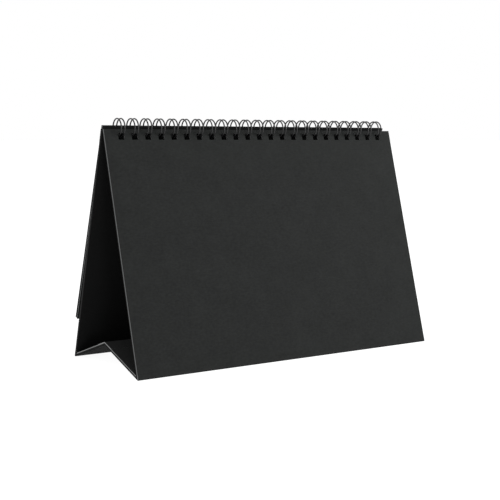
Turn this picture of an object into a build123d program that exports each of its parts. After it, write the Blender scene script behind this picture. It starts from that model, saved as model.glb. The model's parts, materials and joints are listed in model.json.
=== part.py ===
"""Flip desk calendar: a folded board easel with a twin-loop wire, twelve leaves and a stiff cover.

Millimetres. X runs along the wire, -Y is the front panel's side, +Z is up, and Z = 0 is the table.
"""

from build123d import *
import os
from math import acos, atan2, cos, degrees, hypot, radians, sin, sqrt, tan

os.makedirs("parts", exist_ok=True)

# ---- Stand: one laminated board strip folded into two panels and two base flaps ----
stand_width = 207.0
stand_height = 134.0
foot_half_spread = 40.0
ridge_height = 13.0
board_thickness = 1.4
cover_paper_thickness = 0.2
lining_paper_thickness = 0.2
top_edge_gap = 0.2
foot_flat_width = 0.9
fold_clearance = 0.3
ridge_crease_length = 8.0

# ---- Twin-loop wire: three loops to the inch, each loop a pair of wires ----
loop_pitch = 25.4 / 3
loop_radius = 5.04
loop_centre_above_top = 0.8
wire_diameter = 0.9
pair_half_spacing = 1.05
link_bend_radius = 0.5
link_seat_clearance = 0.04
tip_angle = -76.0
pair_end_gap = 0.02

# ---- Punched holes for the wire, the panels' upper edges measured from the panel's top ----
hole_side_clearance = 0.5
hole_height = 4.0
panel_hole_margin = 2.1
sheet_hole_clearance = 0.2
row_end_margin = 8.0

# ---- Leaves and cover, hung behind the rear panel ----
leaf_count = 12
sheet_side_margin = 1.5
sheet_foot_clearance = 15.1
leaf_thickness = 0.1
leaf_gap = 0.005
leaf_splay = 2.04
first_leaf_clearance = 0.07
cover_thickness = 0.3
cover_gap = 0.02
cover_splay = 0.4
sheet_top_rise = 0.1

FRONT = -1
REAR = 1


def direction(angle):
    """Unit vector in the YZ plane, at an angle in degrees from +Y towards +Z."""
    return Vector(0, cos(radians(angle)), sin(radians(angle)))


# ---- Stand geometry worked out from the sizes above ----
laminate = board_thickness + cover_paper_thickness + lining_paper_thickness
wire_radius = wire_diameter / 2
hole_width = 2 * (pair_half_spacing + wire_radius + hole_side_clearance)
sheet_width = stand_width - 2 * sheet_side_margin
sheet_length = stand_height - sheet_foot_clearance
loop_count = 1 + int((sheet_width - 2 * row_end_margin) / loop_pitch)

# The panels lean together until their inner top edges are top_edge_gap apart, and each foot is
# pressed flat on the table, which puts its sharp corner corner_drop below the table. The lean, the
# flaps' slope and the drop depend on each other, and settle within a few turns of the loop.
lean = 0.0
corner_drop = 0.0
for _ in range(8):
    flap_slope = degrees(atan2(ridge_height + corner_drop, foot_half_spread))
    corner_drop = foot_flat_width / (1 / tan(radians(flap_slope)) - tan(radians(lean)))
    top_half = laminate * cos(radians(lean)) + top_edge_gap / 2
    lean = degrees(atan2(foot_half_spread - top_half, stand_height + corner_drop))
foot_angle = 90 - lean - flap_slope
panel_length = hypot(foot_half_spread - top_half, stand_height + corner_drop)
flap_length = hypot(foot_half_spread, ridge_height + corner_drop)
inner_corner_reach = laminate / sin(radians(foot_angle / 2))
crease_reach = laminate / tan(radians(foot_angle / 2)) + fold_clearance

# ---- Wire and sheet places, measured from the loops' centre line ----
leaf_lean = lean + leaf_splay
cover_lean = leaf_lean + cover_splay
panel_offset = top_half * cos(radians(lean)) - loop_centre_above_top * sin(radians(lean))
bar_offset = panel_offset + wire_radius + link_seat_clearance
bar_radius = hypot(loop_radius, link_bend_radius)
link_angle = lean + degrees(atan2(link_bend_radius, loop_radius) - acos(bar_offset / bar_radius))
bar_place = direction(link_angle) * loop_radius + direction(link_angle - 90) * link_bend_radius
leaf_offset = bar_place.dot(direction(leaf_lean)) + wire_radius + first_leaf_clearance
leaf_pitch = leaf_thickness + leaf_gap
block_offset = leaf_offset + leaf_count * leaf_pitch - leaf_gap
splay = radians(cover_splay)
cover_offset = (block_offset + cover_gap + sheet_top_rise * sin(splay)) / cos(splay)

# A sheet's holes start above the place where the wire's inner side leaves the cover.
wire_leaves_cover = sqrt((loop_radius - wire_radius) ** 2 - (cover_offset + cover_thickness) ** 2)
sheet_hole_margin = wire_leaves_cover + sheet_top_rise - sheet_hole_clearance

# ---- The row's origin is on the table, in the middle of the whole object front to back ----
cover_reach = (
    (cover_offset + cover_thickness) * cos(radians(cover_lean))
    + (sheet_length - sheet_top_rise) * sin(radians(cover_lean))
)
foot_reach = foot_half_spread - corner_drop * tan(radians(lean))
stand_middle = (foot_reach - cover_reach) / 2
loop_centre = Vector(0, stand_middle, stand_height + loop_centre_above_top)


def corner(side):
    """The sharp corner of a foot, where a panel's outer face meets its flap's underside."""
    return Vector(0, stand_middle + side * foot_half_spread, -corner_drop)


def panel_plane(side):
    """Plane of a panel's outer face, with local Y up the panel and local Z outwards."""
    outward = (0, side * cos(radians(lean)), sin(radians(lean)))
    return Plane(origin=corner(side), x_dir=(-side, 0, 0), z_dir=outward)


def flap_plane(side):
    """Plane of a flap's underside, with local Y up to the ridge and local Z into the stand."""
    inward = (0, side * sin(radians(flap_slope)), cos(radians(flap_slope)))
    return Plane(origin=corner(side), x_dir=(-side, 0, 0), z_dir=inward)


def punched_row(centre_height):
    """Cut the row of holes for the wire out of the sketch it is called in."""
    with Locations((0, centre_height)):
        with GridLocations(loop_pitch, 1, loop_count, 1):
            Rectangle(hole_width, hole_height, mode=Mode.SUBTRACT)


def panel_layer(side, depth, thickness):
    """One layer of a panel, at a depth below its outer face."""
    with BuildPart() as layer:
        with BuildSketch(panel_plane(side).offset(-depth)):
            with Locations((0, (crease_reach + panel_length) / 2)):
                Rectangle(stand_width, panel_length - crease_reach)
            punched_row(panel_length - panel_hole_margin - hole_height / 2)
        extrude(amount=-thickness)
    return layer.part


def flap_layer(side, depth, thickness):
    """One layer of a base flap, at a depth above its underside."""
    flap_end = flap_length - ridge_crease_length
    with BuildPart() as layer:
        with BuildSketch(flap_plane(side).offset(depth)):
            with Locations((0, (crease_reach + flap_end) / 2)):
                Rectangle(stand_width, flap_end - crease_reach)
        extrude(amount=thickness)
    return layer.part


def bent_strip(outline):
    """A strip across the stand's width whose end shape is the outline, a list of points."""
    with BuildPart() as strip:
        with BuildSketch(Plane.YZ):
            with BuildLine():
                Polyline([(point.Y, point.Z) for point in outline], close=True)
            make_face()
        extrude(amount=stand_width / 2, both=True)
    return strip.part


def foot_crease(side):
    """The scored fold between a panel and its flap, pressed flat where it stands."""
    foot = corner(side)
    up_panel = panel_plane(side).y_dir
    up_flap = flap_plane(side).y_dir
    middle = (up_panel + up_flap).normalized()
    panel_end = foot + up_panel * crease_reach
    flap_end = foot + up_flap * crease_reach
    return bent_strip(
        [
            panel_end,
            foot + up_panel * (corner_drop / cos(radians(lean))),
            foot + up_flap * (corner_drop / sin(radians(flap_slope))),
            flap_end,
            flap_end + flap_plane(side).z_dir * laminate,
            foot + middle * inner_corner_reach,
            panel_end - panel_plane(side).z_dir * laminate,
        ]
    )


def ridge_crease(side):
    """One half of the fold at the ridge, from its flap's end to the middle of the stand."""
    flap_end = corner(side) + flap_plane(side).y_dir * (flap_length - ridge_crease_length)
    ridge_rise = laminate / cos(radians(flap_slope))
    return bent_strip(
        [
            flap_end,
            Vector(0, stand_middle, ridge_height),
            Vector(0, stand_middle, ridge_height + ridge_rise),
            flap_end + flap_plane(side).z_dir * laminate,
        ]
    )


def hung_sheet(offset, turn, thickness):
    """A punched sheet on the wire, its inner face offset from the loops' centre line."""
    outward = direction(turn)
    top = loop_centre + outward * offset + direction(turn + 90) * sheet_top_rise
    with BuildPart() as sheet:
        with BuildSketch(Plane(origin=top, x_dir=(-1, 0, 0), z_dir=outward)):
            with Locations((0, -sheet_length / 2)):
                Rectangle(sheet_width, sheet_length)
            punched_row(-sheet_hole_margin - hole_height / 2)
        extrude(amount=thickness)
    return sheet.part


def loop_point(angle, x, beyond=0.0):
    """A point on the loop at an angle, moved beyond it along the loop's tangent."""
    place = direction(angle) * loop_radius + direction(angle + 90) * beyond
    return loop_centre + place + Vector(x, 0, 0)


def loop_pair():
    """One pair of loops: half a link, a loop, the hairpin tip, a loop and half a link."""
    tip = 360 + tip_angle
    top = (link_angle + tip) / 2
    half = loop_pitch / 2 - pair_end_gap / 2
    near = pair_half_spacing
    bend = link_bend_radius
    # Halfway round a bend, the wire is bend_side further out in X and bend_back short of the loop.
    bend_side = near + bend * (1 - cos(radians(45)))
    bend_back = -bend * cos(radians(45))
    with BuildPart() as pair:
        with BuildLine() as run:
            first_end = loop_point(link_angle, -half, -bend)
            first_bend = loop_point(link_angle, -near - bend, -bend)
            last_bend = loop_point(link_angle, near + bend, -bend)
            last_end = loop_point(link_angle, half, -bend)
            left_foot = loop_point(link_angle, -near)
            left_tip = loop_point(tip, -near)
            right_tip = loop_point(tip, near)
            right_foot = loop_point(link_angle, near)
            Line(first_end, first_bend)
            ThreePointArc(first_bend, loop_point(link_angle, -bend_side, bend_back), left_foot)
            ThreePointArc(left_foot, loop_point(top, -near), left_tip)
            ThreePointArc(left_tip, loop_point(tip, 0, near), right_tip)
            ThreePointArc(right_tip, loop_point(top, near), right_foot)
            ThreePointArc(right_foot, loop_point(link_angle, bend_side, bend_back), last_bend)
            Line(last_bend, last_end)
        with BuildSketch(Plane(origin=first_end, z_dir=(1, 0, 0))):
            Circle(wire_radius)
        sweep()
    return pair.part


def save(piece, name):
    """Label a finished piece and write it as its own file."""
    piece.label = name
    export_step(piece, f"parts/{name}.step")


# ---- Panels and flaps: outer cover paper, board core and inner lining, glued together ----
board_depth = cover_paper_thickness
lining_depth = cover_paper_thickness + board_thickness
for side, name in ((FRONT, "front"), (REAR, "rear")):
    save(panel_layer(side, 0, cover_paper_thickness), f"{name}_panel_cover_paper")
    save(panel_layer(side, board_depth, board_thickness), f"{name}_panel_board")
    save(panel_layer(side, lining_depth, lining_paper_thickness), f"{name}_panel_lining_paper")
    save(flap_layer(side, 0, cover_paper_thickness), f"{name}_flap_cover_paper")
    save(flap_layer(side, board_depth, board_thickness), f"{name}_flap_board")
    save(flap_layer(side, lining_depth, lining_paper_thickness), f"{name}_flap_lining_paper")
    save(foot_crease(side), f"{name}_foot_crease")
    save(ridge_crease(side), f"{name}_ridge_crease")

# ---- Twin-loop wire ----
one_pair = loop_pair()
with BuildPart() as twin_loop_wire:
    with GridLocations(loop_pitch, 1, loop_count, 1):
        add(one_pair)
save(twin_loop_wire.part, "twin_loop_wire")

# ---- Leaves, leaf_01 next to the cover, and the cover ----
for number in range(1, leaf_count + 1):
    offset = leaf_offset + (leaf_count - number) * leaf_pitch
    save(hung_sheet(offset, leaf_lean, leaf_thickness), f"leaf_{number:02d}")
save(hung_sheet(cover_offset, cover_lean, cover_thickness), "calendar_cover")
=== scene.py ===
import json
from math import acos, atan2, cos, pi, radians, sin

import bpy
from mathutils import Matrix, Vector


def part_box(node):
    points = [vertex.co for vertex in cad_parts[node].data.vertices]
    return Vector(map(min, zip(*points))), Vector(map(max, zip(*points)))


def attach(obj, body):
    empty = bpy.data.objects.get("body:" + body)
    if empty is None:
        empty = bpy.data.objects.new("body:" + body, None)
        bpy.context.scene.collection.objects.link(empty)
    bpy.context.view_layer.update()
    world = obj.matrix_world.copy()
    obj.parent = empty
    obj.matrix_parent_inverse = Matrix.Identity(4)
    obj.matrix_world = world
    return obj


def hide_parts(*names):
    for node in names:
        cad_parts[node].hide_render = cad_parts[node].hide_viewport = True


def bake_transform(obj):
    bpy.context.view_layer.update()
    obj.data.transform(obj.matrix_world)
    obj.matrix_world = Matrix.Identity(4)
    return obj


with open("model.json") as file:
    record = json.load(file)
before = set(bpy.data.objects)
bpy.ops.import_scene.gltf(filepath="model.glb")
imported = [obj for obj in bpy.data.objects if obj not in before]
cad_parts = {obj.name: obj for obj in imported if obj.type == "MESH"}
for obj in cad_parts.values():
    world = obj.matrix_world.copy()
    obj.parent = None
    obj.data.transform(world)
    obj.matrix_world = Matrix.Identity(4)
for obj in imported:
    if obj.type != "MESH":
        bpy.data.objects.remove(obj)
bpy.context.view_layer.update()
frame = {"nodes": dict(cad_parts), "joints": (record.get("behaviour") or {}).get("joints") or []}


# ---- Studio ----
# A white table that runs on into a white room, with a broad soft light high on the right, a
# weaker one on the left and a small one low in front, which draws lines along the wire. The
# camera looks down a little at the front panel's left end.
scene = bpy.context.scene
scene.view_settings.view_transform = "Standard"
white_room = bpy.data.worlds.new("white_room")
scene.world = white_room
white_room.use_nodes = True
white_room.node_tree.nodes["Background"].inputs["Color"].default_value = (1, 1, 1, 1)
white_room.node_tree.nodes["Background"].inputs["Strength"].default_value = 1.0

TABLE_HALF = 30.0
table_corners = [(-1, -1), (1, -1), (1, 1), (-1, 1)]
table_mesh = bpy.data.meshes.new("table")
table_mesh.from_pydata([(x * TABLE_HALF, y * TABLE_HALF, 0) for x, y in table_corners], [], [(0, 1, 2, 3)])
table = bpy.data.objects.new("table", table_mesh)
scene.collection.objects.link(table)
table_paint = bpy.data.materials.new("white_table")
table_paint.use_nodes = True
table_shader = table_paint.node_tree.nodes["Principled BSDF"]
table_shader.inputs["Base Color"].default_value = (0.15, 0.15, 0.15, 1)
table_shader.inputs["Roughness"].default_value = 0.9
table_shader.inputs["Emission Color"].default_value = (1, 1, 1, 1)
table_shader.inputs["Emission Strength"].default_value = 0.96
table_mesh.materials.append(table_paint)

LIT_POINT = Vector((0, 0, 0.07))
for name, place, size, power in (
    ("key_light", (0.5, -0.4, 0.4), 0.35, 4.4),
    ("fill_light", (-1.2, 0.1, 0.9), 0.9, 3.0),
    ("wire_light", (-0.28, -0.75, 0.02), 0.12, 1.0),
):
    lamp = bpy.data.lights.new(name, "AREA")
    lamp.size = size
    lamp.energy = power
    light = bpy.data.objects.new(name, lamp)
    light.location = place
    light.rotation_euler = (LIT_POINT - Vector(place)).to_track_quat("-Z", "Y").to_euler()
    scene.collection.objects.link(light)

CAMERA_PLACE = (-0.37265, -0.54331, 0.12941)
CAMERA_YAW = radians(34.128)
CAMERA_PITCH = radians(5.925)
CAMERA_ROLL = radians(0.157)
lens = bpy.data.cameras.new("camera")
lens.lens = 77.92
lens.sensor_width = 36.0
lens.clip_start = 0.01
lens.clip_end = 200.0
camera = bpy.data.objects.new("camera", lens)
look = Vector((sin(CAMERA_YAW) * cos(CAMERA_PITCH), cos(CAMERA_YAW) * cos(CAMERA_PITCH), -sin(CAMERA_PITCH)))
right = Vector((cos(CAMERA_YAW), -sin(CAMERA_YAW), 0))
up = right.cross(look)
rolled_right = right * cos(CAMERA_ROLL) + up * sin(CAMERA_ROLL)
rolled_up = up * cos(CAMERA_ROLL) - right * sin(CAMERA_ROLL)
turn = Matrix((rolled_right, rolled_up, -look)).transposed().to_4x4()
camera.matrix_world = Matrix.Translation(CAMERA_PLACE) @ turn
scene.collection.objects.link(camera)
scene.camera = camera


# ---- Panels ----
# Each panel is three sheets glued into one board: black paper outside, a board core and a
# thinner black lining inside. All three are cut and punched together, so the core shows at the
# edges, and the paper is drawn a little round the edge by the blade. The core's cut edge carries a
# painted highlight, bright on the front panel and dim on the rear one, which stands in shade.
MM = 0.001
HOLE_COUNT = 23
HOLE_PITCH = 25.4 / 3 * MM
HOLE_WIDTH = 4.0 * MM
HOLE_CORNER = 0.2 * MM
ACROSS = Vector((1, 0, 0))
nodes = frame["nodes"]


class Field:
    """A shader value that can be added, multiplied and so on, each step becoming a Math node."""

    def __init__(self, tree, socket):
        self.tree = tree
        self.socket = socket

    def math(self, operation, other=None, swap=False):
        step = self.tree.nodes.new("ShaderNodeMath")
        step.operation = operation
        terms = [self, other] if not swap else [other, self]
        for slot, term in zip(step.inputs, terms):
            if isinstance(term, Field):
                self.tree.links.new(term.socket, slot)
            elif term is not None:
                slot.default_value = term
        return Field(self.tree, step.outputs[0])

    def __add__(self, other):
        return self.math("ADD", other)

    def __mul__(self, other):
        return self.math("MULTIPLY", other)

    def __sub__(self, other):
        return self.math("SUBTRACT", other)

    def __rsub__(self, other):
        return self.math("SUBTRACT", other, swap=True)

    __radd__ = __add__
    __rmul__ = __mul__

    def clamped(self):
        return self.math("MAXIMUM", 0.0).math("MINIMUM", 1.0)


class Finish:
    """A material under way: its Principled shader, with shine as the specular level."""

    def __init__(self, name, shine=0.1):
        self.material = bpy.data.materials.new(name)
        self.material.use_nodes = True
        self.tree = self.material.node_tree
        self.shader = self.tree.nodes["Principled BSDF"]
        self.shader.inputs["Specular IOR Level"].default_value = shine

    def node(self, kind, output, settings=None, sockets=None):
        """Adds a node: its settings first, then its sockets' values or links. Gives one output."""
        made = self.tree.nodes.new(kind)
        for key, value in (settings or {}).items():
            setattr(made, key, value)
        for key, value in (sockets or {}).items():
            if isinstance(value, Field):
                self.tree.links.new(value.socket, made.inputs[key])
            else:
                made.inputs[key].default_value = value
        return Field(self.tree, made.outputs[output])

    def place(self, stretch=(1, 1, 1)):
        """Object coordinates, stretched along each axis."""
        spot = self.node("ShaderNodeTexCoord", "Object")
        return self.node("ShaderNodeMapping", "Vector", {}, {"Vector": spot, "Scale": stretch})

    def noise(self, size, detail=3.0, stretch=(1, 1, 1)):
        """Noise whose blotches are about size metres across, from 0 to 1."""
        sockets = {"Vector": self.place(stretch), "Scale": 1 / size, "Detail": detail, "Roughness": 0.6}
        return self.node("ShaderNodeTexNoise", "Fac", {}, sockets)

    def along(self, direction):
        """How far a point lies in a direction from the origin, in metres."""
        sockets = {0: self.place(), 1: direction}
        return self.node("ShaderNodeVectorMath", "Value", {"operation": "DOT_PRODUCT"}, sockets)

    def blend(self, amount, dark, light):
        """A colour from dark to light. The Mix node's colour sockets are only told apart by number."""
        sockets = {0: amount, 6: (*dark, 1), 7: (*light, 1)}
        return self.node("ShaderNodeMix", 2, {"data_type": "RGBA"}, sockets)

    def set(self, socket, field):
        self.tree.links.new(field.socket, self.shader.inputs[socket])

    def bump(self, height, depth):
        sockets = {"Height": height, "Strength": 1.0, "Distance": depth}
        self.set("Normal", self.node("ShaderNodeBump", "Normal", {}, sockets))


def paper_finish(name, dark, light, rough=0.82, tooth=0.02 * MM, shine=0.1):
    """Matt dyed paper: pulp clouds, a fine felt tooth and a few fibres lying across it."""
    finish = Finish(name, shine)
    clouds = finish.noise(14 * MM, 2.0)
    mottle = finish.noise(1.6 * MM, 4.0)
    fibres = finish.noise(0.7 * MM, 3.0, (0.3, 1, 1))
    shade = (clouds - 0.5) * 0.5 + (mottle - 0.5) * 1.1 + (fibres - 0.5) * 0.9 + 0.5
    finish.set("Base Color", finish.blend(shade.clamped(), dark, light))
    finish.set("Roughness", (mottle * 0.16 + (rough - 0.08)).clamped())
    finish.bump(fibres * 0.6 + mottle * 0.4, tooth)
    return finish.material


# How quickly a board's cut edge turns from dark to its painted highlight.
HIGHLIGHT_TURN = 0.15 * MM


def board_finish(name, dark, pale, lie=None, highlight_from=0.0):
    """Raw guillotined board: pressed pulp with torn specks. With lie, it turns from dark to pale,
    highlight_from of the way through the board along lie.out: the pale part is a painted highlight, for the
    light its cut corner catches."""
    finish = Finish(name)
    plies = finish.noise(0.22 * MM, 2.0, (0.25, 1, 0.4))
    specks = finish.noise(0.5 * MM, 4.0)
    amount = plies * 0.3 + specks * 0.3 + 0.35
    if lie:
        highlight_start = lie.back + (lie.face - lie.back) * highlight_from
        beyond = (finish.along(lie.out) - highlight_start) * (1 / HIGHLIGHT_TURN)
        amount = amount * (beyond + plies * 0.5).clamped()
    finish.set("Base Color", finish.blend(amount.clamped(), dark, pale))
    finish.set("Roughness", (specks * 0.1 + 0.84).clamped())
    finish.bump(plies, 0.04 * MM)
    return finish.material


cover_paper = paper_finish("black_cover_paper", (0.0062, 0.0067, 0.0065), (0.0156, 0.0167, 0.0161))
# The lining is painted darker than the cover, for the shade inside the stand.
lining_paper = paper_finish("black_lining_paper", (0.0045, 0.0046, 0.0046), (0.007, 0.0071, 0.0071), 0.88)


class Lie:
    """How a flat CAD layer lies: unit vectors up it and out of it, and its extent along each."""

    def __init__(self, node, out_y, out_z):
        mesh = nodes[node].data
        widest = max(mesh.polygons, key=lambda polygon: polygon.area)
        self.out = widest.normal.normalized()
        if self.out.y * out_y + self.out.z * out_z < 0:
            self.out.negate()
        self.up = self.out.cross(ACROSS)
        if self.up.z < 0:
            self.up.negate()
        along = [vertex.co.dot(self.up) for vertex in mesh.vertices]
        self.levels = sorted({round(value, 6) for value in along})
        depth = [vertex.co.dot(self.out) for vertex in mesh.vertices]
        self.low, self.high = min(along), max(along)
        self.back, self.face = min(depth), max(depth)
        self.width = 2 * max(vertex.co.x for vertex in mesh.vertices)

    def point(self, x, along, depth):
        return ACROSS * x + self.up * along + self.out * depth


BLACK_PULP = (0.004, 0.004, 0.004)
# The pale part of each board's cut edge is a painted highlight: bright on the front panel, which faces the
# light, and dim on the rear panel, which stands in shade.
front_board = Lie("front_panel_board", -1, 0)
front_core = board_finish("front_board_core", BLACK_PULP, (0.15, 0.152, 0.152), front_board, 0.35)
rear_board = Lie("rear_panel_board", 1, 0)
rear_core = board_finish("rear_board_core", BLACK_PULP, (0.022, 0.022, 0.022), rear_board, 0.3)


def hole_edges(hole_bottom, hole_top):
    """Where the grid lines of a punched sheet run: across it, and up it round the holes."""
    columns = []
    for hole in range(HOLE_COUNT):
        middle = (hole - (HOLE_COUNT - 1) / 2) * HOLE_PITCH
        left, right = middle - HOLE_WIDTH / 2, middle + HOLE_WIDTH / 2
        columns += [left, left + HOLE_CORNER, right - HOLE_CORNER, right]
    rows = [hole_bottom, hole_bottom + HOLE_CORNER, hole_top - HOLE_CORNER, hole_top]
    return columns, rows


def slab(name, lie, faces, edges, sway=None, row_count=10, bevel=0.05 * MM, share=1.0):
    """A sheet the size of a CAD layer and punched as it is, with cut edges in their own
    material. sway(x, along) moves it outwards, for paper that isn't flat, and share is how much
    of the layer's thickness it fills."""
    half = lie.width / 2
    # A punched layer's corners lie at four levels: its foot, its holes' two ends and its head.
    punched = len(lie.levels) == 4
    if punched:
        columns, hole_rows = hole_edges(*lie.levels[1:3])
    else:
        columns, hole_rows = [half * (step / 6 - 1) for step in range(1, 12)], []
    columns = [-half] + columns + [half]
    bottom = hole_rows[0] if punched else lie.high
    rows = [lie.low + (bottom - lie.low) * step / row_count for step in range(row_count)]
    rows += hole_rows + [lie.high]
    vertices = []
    for along in rows:
        for x in columns:
            lift = sway(x, along) if sway else 0.0
            vertices.append(tuple(lie.point(x, along, lie.back + lift)))
    quads = []
    wide = len(columns)
    for row in range(len(rows) - 1):
        for column in range(wide - 1):
            a = row * wide + column
            b, c, d = a + 1, a + 1 + wide, a + wide
            across, up = (column - 1) % 4, row - row_count
            in_hole = punched and up in (0, 1, 2) and across in (0, 1, 2) and 0 < column < wide - 2
            if not in_hole:
                quads.append((a, b, c, d))
            elif across != 1 and up != 1:
                # Each corner of a hole keeps a triangle, which rounds it.
                corner = {(0, 0): (a, b, d), (2, 0): (a, b, c), (0, 2): (a, c, d), (2, 2): (b, c, d)}
                quads.append(corner[(across, up)])
    mesh = bpy.data.meshes.new(name)
    mesh.from_pydata(vertices, [], quads)
    mesh.update()
    if mesh.polygons[0].normal.dot(lie.out) < 0:
        mesh.flip_normals()
    piece = bpy.data.objects.new(name, mesh)
    scene.collection.objects.link(piece)
    mesh.materials.append(faces)
    mesh.materials.append(edges)
    thickness = piece.modifiers.new("thickness", "SOLIDIFY")
    thickness.thickness = (lie.face - lie.back) * share
    thickness.offset = 1.0
    thickness.material_offset_rim = 1
    softened = piece.modifiers.new("softened_edges", "BEVEL")
    softened.width = bevel
    softened.segments = 2
    softened.limit_method = "ANGLE"
    softened.angle_limit = radians(50)
    return piece


def finish_piece(piece, body, slot, *replaced):
    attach(piece, body)
    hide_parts(*replaced)


for side, out_y, core in (("front", -1, front_core), ("rear", 1, rear_core)):
    body = f"{side}_panel"
    for layer, faces, edges, slot in (
        ("cover_paper", cover_paper, cover_paper, "black_cover_paper"),
        ("board", core, core, "board_core"),
        ("lining_paper", lining_paper, lining_paper, "black_lining_paper"),
    ):
        node = f"{side}_panel_{layer}"
        lie = Lie(node, out_y, 0)
        piece = slab(f"{side}_panel_{layer}_sheet", lie, faces, edges)
        finish_piece(piece, body, slot, node)


# ---- Base flaps ----
# The strip's two end lengths, folded in to meet at a low ridge that keeps the feet apart. They
# are the same three glued layers as the panels, without holes.
# Painted light on the flaps: their underside is the cover paper painted darker, for the shade between flap
# and table, and their top is the lining paper painted lighter, for the light falling on it from above.
shaded_underside_paper = paper_finish(
    "flap_underside_paper", (0.0022, 0.0023, 0.0023), (0.0038, 0.0039, 0.0039), 0.9, shine=0.04
)
lit_flap_top_paper = paper_finish("lit_flap_top_paper", (0.0085, 0.0087, 0.0086), (0.014, 0.0143, 0.0141), 0.86)
flap_cores = {}
for side in ("front", "rear"):
    flap_lie = Lie(f"{side}_flap_board", 0, 1)
    # The upper part of each flap's cut edge is a painted highlight, for the light from above that its top
    # corner catches.
    flap_core = board_finish(f"{side}_flap_core", BLACK_PULP, (0.27, 0.273, 0.273), flap_lie, 0.68)
    flap_cores[side] = flap_core
    for layer, faces, slot in (
        ("cover_paper", shaded_underside_paper, "black_cover_paper"),
        ("board", flap_core, "board_core"),
        ("lining_paper", lit_flap_top_paper, "black_lining_paper"),
    ):
        node = f"{side}_flap_{layer}"
        lie = Lie(node, 0, 1)
        piece = slab(f"{side}_flap_{layer}_sheet", lie, faces, faces, row_count=4)
        finish_piece(piece, f"{side}_flap", slot, node)


# ---- Creases ----
# The board is scored and folded at both feet and at the ridge, so its layers run round the fold
# in one piece. The feet are pressed round where they stand; the ridge is made as two halves, one
# on each flap.
ROUND_STEPS = 8
OUTSIDE, INSIDE, CUT_END = 0, 1, 2
RIDGE_EASE = 0.45 * MM


def folded_strip(name, outline, colours, finishes, half_width):
    """A strip across the stand. outline is a ring of (Y, Z) points, and colours says which of
    the three finishes each stretch of it has. The ends show the cut laminate."""
    columns = [half_width * (step / 8 - 1) for step in range(17)]
    vertices = [(x, point[0], point[1]) for x in columns for point in outline]
    ring = len(outline)
    quads, numbers = [], []
    for column in range(len(columns) - 1):
        for index in range(ring):
            a = column * ring + index
            b = column * ring + (index + 1) % ring
            quads.append((a, b, b + ring, a + ring))
            numbers.append(colours[index])
    last = (len(columns) - 1) * ring
    quads.append(tuple(range(ring)))
    quads.append(tuple(range(last + ring - 1, last - 1, -1)))
    numbers += [CUT_END, CUT_END]
    mesh = bpy.data.meshes.new(name)
    mesh.from_pydata(vertices, [], quads)
    for finish in finishes:
        mesh.materials.append(finish)
    for polygon, number in zip(mesh.polygons, numbers):
        polygon.material_index = number
    mesh.update()
    piece = bpy.data.objects.new(name, mesh)
    scene.collection.objects.link(piece)
    bpy.context.view_layer.objects.active = piece
    bpy.ops.object.mode_set(mode="EDIT")
    bpy.ops.mesh.select_all(action="SELECT")
    bpy.ops.mesh.normals_make_consistent(inside=False)
    bpy.ops.object.mode_set(mode="OBJECT")
    return piece


def flat(vector):
    return Vector((vector.y, vector.z))


def meet(point, along, other, other_along):
    """Where two lines in the YZ plane cross."""
    cross = along.x * other_along.y - along.y * other_along.x
    reach = ((other - point).x * other_along.y - (other - point).y * other_along.x) / cross
    return point + along * reach


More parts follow.
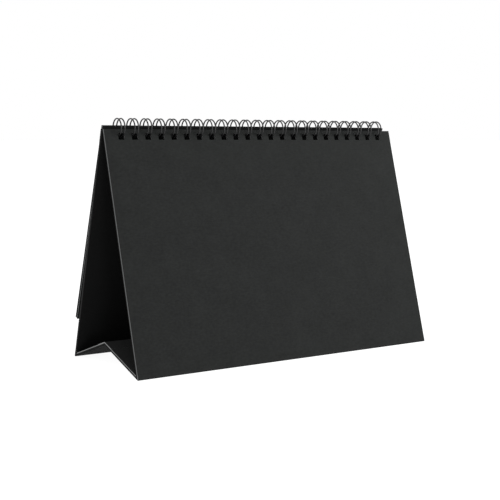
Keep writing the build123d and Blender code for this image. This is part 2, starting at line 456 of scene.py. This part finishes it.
half_stand = front_board.width / 2
for side, out_y in (("front", -1), ("rear", 1)):
    panel = Lie(f"{side}_panel_cover_paper", out_y, 0)
    panel_inner = Lie(f"{side}_panel_lining_paper", out_y, 0)
    flap = Lie(f"{side}_flap_cover_paper", 0, 1)
    flap_inner = Lie(f"{side}_flap_lining_paper", 0, 1)
    panel_outside = flat(panel.point(0, panel.low, panel.face))
    panel_inside = flat(panel.point(0, panel.low, panel_inner.back))
    flap_outside = flat(flap.point(0, flap.low, flap.back))
    flap_inside = flat(flap.point(0, flap.low, flap_inner.face))
    up_panel, up_flap = flat(panel.up), flat(flap.up)
    sharp = meet(panel_outside, up_panel, flap_outside, up_flap)
    inner_corner = meet(panel_inside, up_panel, flap_inside, up_flap)
    middle = (up_panel + up_flap).normalized()
    half_angle = acos(up_panel.dot(up_flap)) / 2
    # The outside is rounded until its lowest point just touches the table.
    fold_radius = -sharp.y / (middle.y / sin(half_angle) - 1)
    centre = sharp + middle * (fold_radius / sin(half_angle))
    start = centre + (panel_outside - centre).project(flat(panel.out)).normalized() * fold_radius
    turn_from = atan2(start.y - centre.y, start.x - centre.x)
    end = centre - flat(flap.out) * fold_radius
    turn_to = atan2(end.y - centre.y, end.x - centre.x)
    sweep = (turn_to - turn_from + pi) % (2 * pi) - pi
    arc = []
    for step in range(ROUND_STEPS + 1):
        angle = turn_from + sweep * step / ROUND_STEPS
        arc.append(centre + Vector((cos(angle), sin(angle))) * fold_radius)
    outline = [panel_outside] + arc + [flap_outside, flap_inside, inner_corner, panel_inside]
    colours = [OUTSIDE] * (len(arc) + 1) + [CUT_END, INSIDE, INSIDE, CUT_END]
    # The fold's cut ends take their panel's board finish, painted highlight included.
    crease_ends = front_core if side == "front" else rear_core
    finishes = (cover_paper, lit_flap_top_paper, crease_ends)
    crease = folded_strip(f"{side}_foot_fold", outline, colours, finishes, half_stand)
    panel.point(0, panel.low, panel_inner.back)
    flap.point(0, flap.low, flap_inner.face)
    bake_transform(crease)
    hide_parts(f"{side}_foot_crease")

    # The ridge: the flap's layers go on to the middle of the stand, their top rounded over.
    low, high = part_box(f"{side}_ridge_crease")
    ridge_y = low.y if side == "rear" else high.y
    flap_end_outside = flat(flap.point(0, flap.high, flap.back))
    flap_end_inside = flat(flap.point(0, flap.high, flap_inner.face))
    down = Vector((0, 1))
    under_ridge = meet(flap_end_outside, up_flap, Vector((ridge_y, 0)), down)
    over_ridge = meet(flap_end_inside, up_flap, Vector((ridge_y, 0)), down)
    shoulder = over_ridge - up_flap * (2 * RIDGE_EASE)
    crown = over_ridge - Vector((0, RIDGE_EASE * 0.4))
    eased = (shoulder + over_ridge * 2 + crown) / 4
    outline = [flap_end_outside, under_ridge, crown, eased, shoulder, flap_end_inside]
    colours = [OUTSIDE, CUT_END, INSIDE, INSIDE, INSIDE, CUT_END]
    # The ridge's cut ends take the flap's board finish, painted highlight included.
    finishes = (shaded_underside_paper, lit_flap_top_paper, flap_cores[side])
    ridge = folded_strip(f"{side}_ridge_fold", outline, colours, finishes, half_stand)
    finish_piece(ridge, f"{side}_flap", "black_crease", f"{side}_ridge_crease")


# ---- Twin-loop wire ----
# One length of steel wire coated in black nylon, bent to and fro into pairs of loops and closed
# round the sheets: each pair ends in a hairpin tip, and links join one pair to the next. The
# tips and links lie hidden between the rear panel and the leaves.
LOOP_RADIUS = 5.04 * MM
WIRE_RADIUS = 0.41 * MM
PAIR_HALF = 1.05 * MM
BEND_RADIUS = 0.5 * MM
TIP_ANGLE = radians(284.0)
LINK_ANGLE = radians(-45.1)
LOOP_STEPS = 56
BEND_STEPS = 6
# The cover turns about the middle of the loops.
cover_turn = next(joint for joint in frame["joints"] if joint["name"] == "cover_turn")
loop_middle = Vector(cover_turn["pos_m"])


def loop_point(angle, x, beyond=0.0):
    """A point on the loops' circle, moved on along its tangent by beyond."""
    radial = Vector((0, cos(angle), sin(angle)))
    tangent = Vector((0, -sin(angle), cos(angle)))
    return loop_middle + radial * LOOP_RADIUS + tangent * beyond + ACROSS * x


def pair_route():
    """The middle line of one pair, from the middle of one link to the middle of the next."""
    route = [loop_point(LINK_ANGLE, -HOLE_PITCH / 2, -BEND_RADIUS)]
    route.append(loop_point(LINK_ANGLE, -HOLE_PITCH / 3, -BEND_RADIUS))
    for step in range(BEND_STEPS):
        turn = pi / 2 * step / BEND_STEPS
        side = -PAIR_HALF - BEND_RADIUS + BEND_RADIUS * sin(turn)
        route.append(loop_point(LINK_ANGLE, side, -BEND_RADIUS * cos(turn)))
    for step in range(LOOP_STEPS + 1):
        angle = LINK_ANGLE + (TIP_ANGLE - LINK_ANGLE) * step / LOOP_STEPS
        # The two wires spread a little over the top of the loop, as the closing press leaves them.
        spread = 1 + 0.08 * sin(pi * step / LOOP_STEPS)
        route.append(loop_point(angle, -PAIR_HALF * spread))
    for step in range(1, BEND_STEPS + 1):
        turn = pi / 2 * step / BEND_STEPS
        route.append(loop_point(TIP_ANGLE, -PAIR_HALF * cos(turn), PAIR_HALF * sin(turn)))
    mirrored = [Vector((-point.x, point.y, point.z)) for point in reversed(route[:-1])]
    return route + mirrored


def loops_tree():
    """Geometry nodes that sweep the wire along one pair and repeat it across the binding."""
    tree = bpy.data.node_groups.new("twin_loops", "GeometryNodeTree")
    tree.interface.new_socket("Geometry", in_out="INPUT", socket_type="NodeSocketGeometry")
    tree.interface.new_socket("Geometry", in_out="OUTPUT", socket_type="NodeSocketGeometry")
    for name, kind in (
        ("Pairs", "NodeSocketInt"),
        ("Pitch", "NodeSocketFloat"),
        ("Wire radius", "NodeSocketFloat"),
        ("Coating", "NodeSocketMaterial"),
    ):
        tree.interface.new_socket(name, in_out="INPUT", socket_type=kind)
    add, link = tree.nodes.new, tree.links.new
    given = add("NodeGroupInput")
    result = add("NodeGroupOutput")
    section = add("GeometryNodeCurvePrimitiveCircle")
    section.inputs["Resolution"].default_value = 10
    link(given.outputs["Wire radius"], section.inputs["Radius"])
    swept = add("GeometryNodeCurveToMesh")
    swept.inputs["Fill Caps"].default_value = True
    link(given.outputs["Geometry"], swept.inputs["Curve"])
    link(section.outputs["Curve"], swept.inputs["Profile Curve"])
    last = add("ShaderNodeMath")
    last.operation = "SUBTRACT"
    link(given.outputs["Pairs"], last.inputs[0])
    last.inputs[1].default_value = 1.0
    span = add("ShaderNodeMath")
    span.operation = "MULTIPLY"
    link(last.outputs[0], span.inputs[0])
    link(given.outputs["Pitch"], span.inputs[1])
    first = add("ShaderNodeMath")
    first.operation = "MULTIPLY"
    link(span.outputs[0], first.inputs[0])
    first.inputs[1].default_value = -0.5
    start = add("ShaderNodeCombineXYZ")
    link(first.outputs[0], start.inputs["X"])
    step = add("ShaderNodeCombineXYZ")
    link(given.outputs["Pitch"], step.inputs["X"])
    places = add("GeometryNodeMeshLine")
    link(given.outputs["Pairs"], places.inputs["Count"])
    link(start.outputs[0], places.inputs["Start Location"])
    link(step.outputs[0], places.inputs["Offset"])
    copies = add("GeometryNodeInstanceOnPoints")
    link(places.outputs["Mesh"], copies.inputs["Points"])
    link(swept.outputs["Mesh"], copies.inputs["Instance"])
    real = add("GeometryNodeRealizeInstances")
    link(copies.outputs["Instances"], real.inputs["Geometry"])
    coated = add("GeometryNodeSetMaterial")
    link(real.outputs["Geometry"], coated.inputs["Geometry"])
    link(given.outputs["Coating"], coated.inputs["Material"])
    link(coated.outputs["Geometry"], result.inputs["Geometry"])
    return tree


def wire_finish():
    """Black nylon dip on steel: smooth, half glossy, with faint orange-peel and handling marks."""
    finish = Finish("black_nylon_wire", 0.4)
    peel = finish.noise(0.25 * MM, 2.0)
    rub = finish.noise(3.5 * MM, 4.0)
    finish.set("Base Color", finish.blend(rub, (0.003, 0.003, 0.0032), (0.008, 0.008, 0.0083)))
    finish.set("Roughness", (rub * 0.14 + 0.2).clamped())
    finish.bump(peel, 0.006 * MM)
    return finish.material


route = pair_route()
run = bpy.data.curves.new("pair_run", "CURVE")
run.dimensions = "3D"
spline = run.splines.new("POLY")
spline.points.add(len(route) - 1)
for spot, place in zip(spline.points, route):
    spot.co = (*place, 1.0)
run_object = bpy.data.objects.new("pair_run", run)
scene.collection.objects.link(run_object)
winding = run_object.modifiers.new("winding", "NODES")
winding.node_group = loops_tree()
coating = wire_finish()
wanted = {"Pairs": HOLE_COUNT, "Pitch": HOLE_PITCH, "Wire radius": WIRE_RADIUS, "Coating": coating}
for item in winding.node_group.interface.items_tree:
    if item.in_out == "INPUT" and item.name in wanted:
        winding[item.identifier] = wanted[item.name]
evaluated = run_object.evaluated_get(bpy.context.evaluated_depsgraph_get())
wire_mesh = bpy.data.meshes.new_from_object(evaluated)
wire_mesh.name = "twin_loop_wire_mesh"
bpy.data.objects.remove(run_object)
wire = bpy.data.objects.new("twin_loop_binding", wire_mesh)
scene.collection.objects.link(wire)
for polygon in wire_mesh.polygons:
    polygon.use_smooth = True
finish_piece(wire, "rear_panel", "wire_coating", "twin_loop_wire")


# ---- Leaves ----
# Blank black paper leaves, punched in one block with square holes, which hang from the loops
# with a little air between them. Uncoated stock takes up a slight wave across its lower edge.
LEAF_SHARE = 0.7
LEAF_BEVEL = 0.01 * MM
FIRST_PALE_LEAF = "leaf_06"
PALE_SIDE_FROM = 101.6 * MM
PALE_SIDE_TURN = 0.3 * MM
LEAF_FLAT_HEAD = 20 * MM
leaf_paper = paper_finish("black_leaf_paper", (0.006, 0.0062, 0.0062), (0.0095, 0.0098, 0.0097), 0.86)


def leaf_edge_finish(name, dark, pale):
    """Cut edges of a stack of leaves, paler down its two sides than along its top and foot: the pale sides
    are a painted highlight, for the light falling on the block's side.
    """
    finish = Finish(name)
    fuzz = finish.noise(0.3 * MM, 3.0)
    from_middle = finish.along(ACROSS).math("ABSOLUTE")
    side = ((from_middle - PALE_SIDE_FROM) * (1 / PALE_SIDE_TURN)).clamped()
    finish.set("Base Color", finish.blend((side * (fuzz * 0.6 + 0.7)).clamped(), dark, pale))
    finish.set("Roughness", (fuzz * 0.1 + 0.84).clamped())
    finish.bump(fuzz, 0.02 * MM)
    return finish.material


pale_edge = leaf_edge_finish("pale_leaf_edge", (0.006, 0.0062, 0.0062), (0.13, 0.132, 0.132))
dark_edge = leaf_edge_finish("dark_leaf_edge", (0.006, 0.0062, 0.0062), (0.012, 0.012, 0.0122))
leaf_nodes = sorted(node for node in nodes if node.startswith("leaf_"))
leaf_lie = Lie(leaf_nodes[0], 1, 0)


def leaf_wave(x, along):
    """How far a leaf stands off its flat place: nothing at the loops, a little at its foot."""
    drop = max(0.0, (leaf_lie.high - LEAF_FLAT_HEAD - along) / (leaf_lie.high - leaf_lie.low))
    return drop * drop * (0.35 * MM * sin(x * 31 + 0.6) + 0.15 * MM * sin(x * 67))


for node in leaf_nodes:
    lie = Lie(node, 1, 0)
    edge = dark_edge if node < FIRST_PALE_LEAF else pale_edge
    leaf = slab(f"{node}_sheet", lie, leaf_paper, edge, leaf_wave, 12, LEAF_BEVEL, LEAF_SHARE)
    finish_piece(leaf, node, "leaf_paper", node)


# ---- Cover ----
# The outer sheet, a stiff black card, punched as the leaves are and hung from the same loops.
# It curls off the block a little towards its foot.
CARD_CURL = 0.4 * MM
card_face = paper_finish("black_cover_card", (0.0125, 0.0135, 0.013), (0.0175, 0.0188, 0.0181), 0.8)
card_edge = paper_finish("cover_card_edge", (0.006, 0.006, 0.0062), (0.010, 0.010, 0.0102), 0.88)
cover_lie = Lie("calendar_cover", 1, 0)


def cover_curl(x, along):
    """The card follows the block near the loops and curls away below the middle."""
    drop = (cover_lie.high - along) / (cover_lie.high - cover_lie.low)
    return CARD_CURL * (drop * drop - drop)


card = slab("calendar_cover_card", cover_lie, card_face, card_edge, cover_curl, 16)
finish_piece(card, "cover", "cover_board", "calendar_cover")
